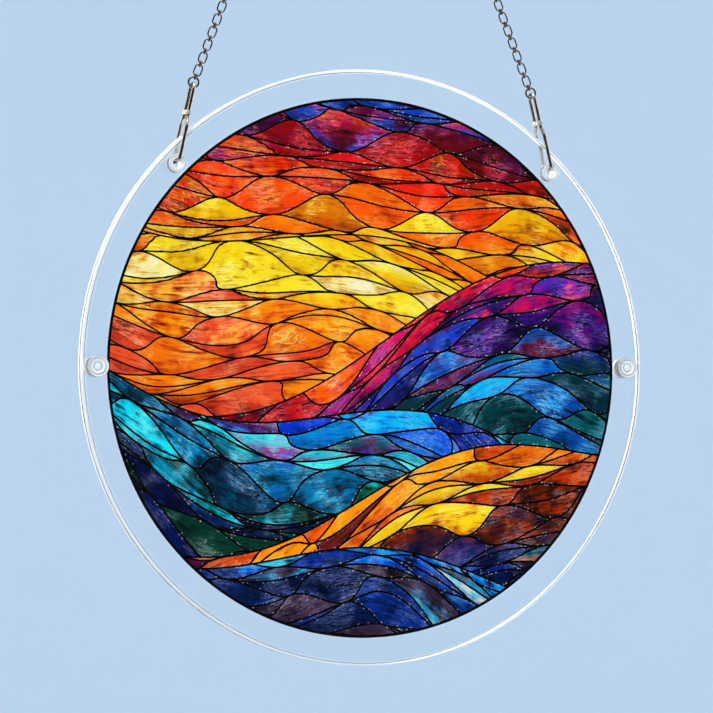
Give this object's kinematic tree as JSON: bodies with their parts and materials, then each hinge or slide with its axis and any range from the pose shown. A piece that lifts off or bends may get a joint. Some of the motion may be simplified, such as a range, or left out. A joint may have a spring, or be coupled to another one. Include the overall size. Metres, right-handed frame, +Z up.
{
  "type": "acrylic suncatcher",
  "caption": "Round clear acrylic suncatcher printed with a stained-glass style design, hung by two steel chains from a small ring",
  "frame": {"origin": "the inside of the hanging ring at its top, where a nail or hook carries it", "axes": "+Z up, the printed front faces -Y, +X to the right of a person who looks at the front"},
  "size_m": [0.2, 0.0082, 0.3553],
  "materials": {
    "clear_acrylic": "polished clear acrylic, colourless, with polished edges",
    "printed_design": "translucent printed film on the panel's back face, many colours with thin black lines",
    "clear_fittings": "moulded clear soft plastic, slightly milky",
    "steel_wire": "polished nickel-plated steel wire",
    "bright_steel": "bright rolled sheet steel"
  },
  "bodies": {
    "root": {"panel": "clear_acrylic", "eyelet_left": "clear_fittings", "eyelet_right": "clear_fittings", "bumper_left": "clear_fittings", "bumper_right": "clear_fittings", "hook_left": "steel_wire", "hook_right": "steel_wire", "sleeve_left": "bright_steel", "sleeve_right": "bright_steel", "chain_left": "steel_wire", "chain_right": "steel_wire", "hanging_ring": "steel_wire"}
  },
  "joints": []
}
